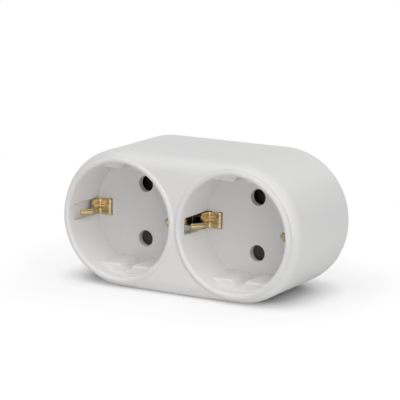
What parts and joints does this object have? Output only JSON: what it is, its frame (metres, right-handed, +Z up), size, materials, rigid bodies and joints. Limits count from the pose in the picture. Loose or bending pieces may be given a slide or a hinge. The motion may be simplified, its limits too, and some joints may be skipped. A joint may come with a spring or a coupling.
{
  "type": "multi socket adapter",
  "caption": "Mains adapter: rounded white body with recessed round earthed sockets, sprung safety shutters behind the pin holes, and a round two-pin plug on its back.",
  "frame": {"origin": "on the underside, below the middle of the overall box", "axes": "+X along the body, left to right facing the sockets; +Z up; the sockets face -Y and the plug points +Y"},
  "size_m": [0.0906, 0.0794, 0.0472],
  "materials": {
    "white_plastic": "semi-gloss moulded plastic",
    "dark_plastic": "matte dark moulded plastic",
    "contact_brass": "rolled brass strip",
    "nickel_pin": "nickel-plated brass",
    "zinc_steel": "zinc-plated steel",
    "spring_steel": "bright spring wire"
  },
  "bodies": {
    "adapter": {"front_housing": "white_plastic", "rear_cover": "white_plastic", "cover_screws": "zinc_steel", "line_contact_strip": "contact_brass", "neutral_contact_strip": "contact_brass", "line_pin": "nickel_pin", "neutral_pin": "nickel_pin", "earth_link": "contact_brass", "plug_earth_bracket": "contact_brass", "earth_rivets": "contact_brass", "retainer_screws": "zinc_steel", "left_earth_bracket": "contact_brass", "right_earth_bracket": "contact_brass", "left_shutter_spring": "spring_steel", "right_shutter_spring": "spring_steel", "left_shutter_retainer": "dark_plastic", "right_shutter_retainer": "dark_plastic"},
    "left_shutter": {"left_shutter": "dark_plastic"},
    "right_shutter": {"right_shutter": "dark_plastic"}
  },
  "joints": [
    {"name": "left_shutter_turn", "type": "hinge", "parent": "adapter", "child": "left_shutter", "pos_m": [-0.0217, -0.0184, 0.0236], "axis": [0, 1, 0], "range_deg": [0, 36], "stiffness_Nm_per_rad": 0.001, "springref_deg": -34.38, "deforming": ["left_shutter_spring"]},
    {"name": "right_shutter_turn", "type": "hinge", "parent": "adapter", "child": "right_shutter", "pos_m": [0.0217, -0.0184, 0.0236], "axis": [0, 1, 0], "range_deg": [0, 36], "stiffness_Nm_per_rad": 0.001, "springref_deg": -34.38, "deforming": ["right_shutter_spring"]}
  ]
}
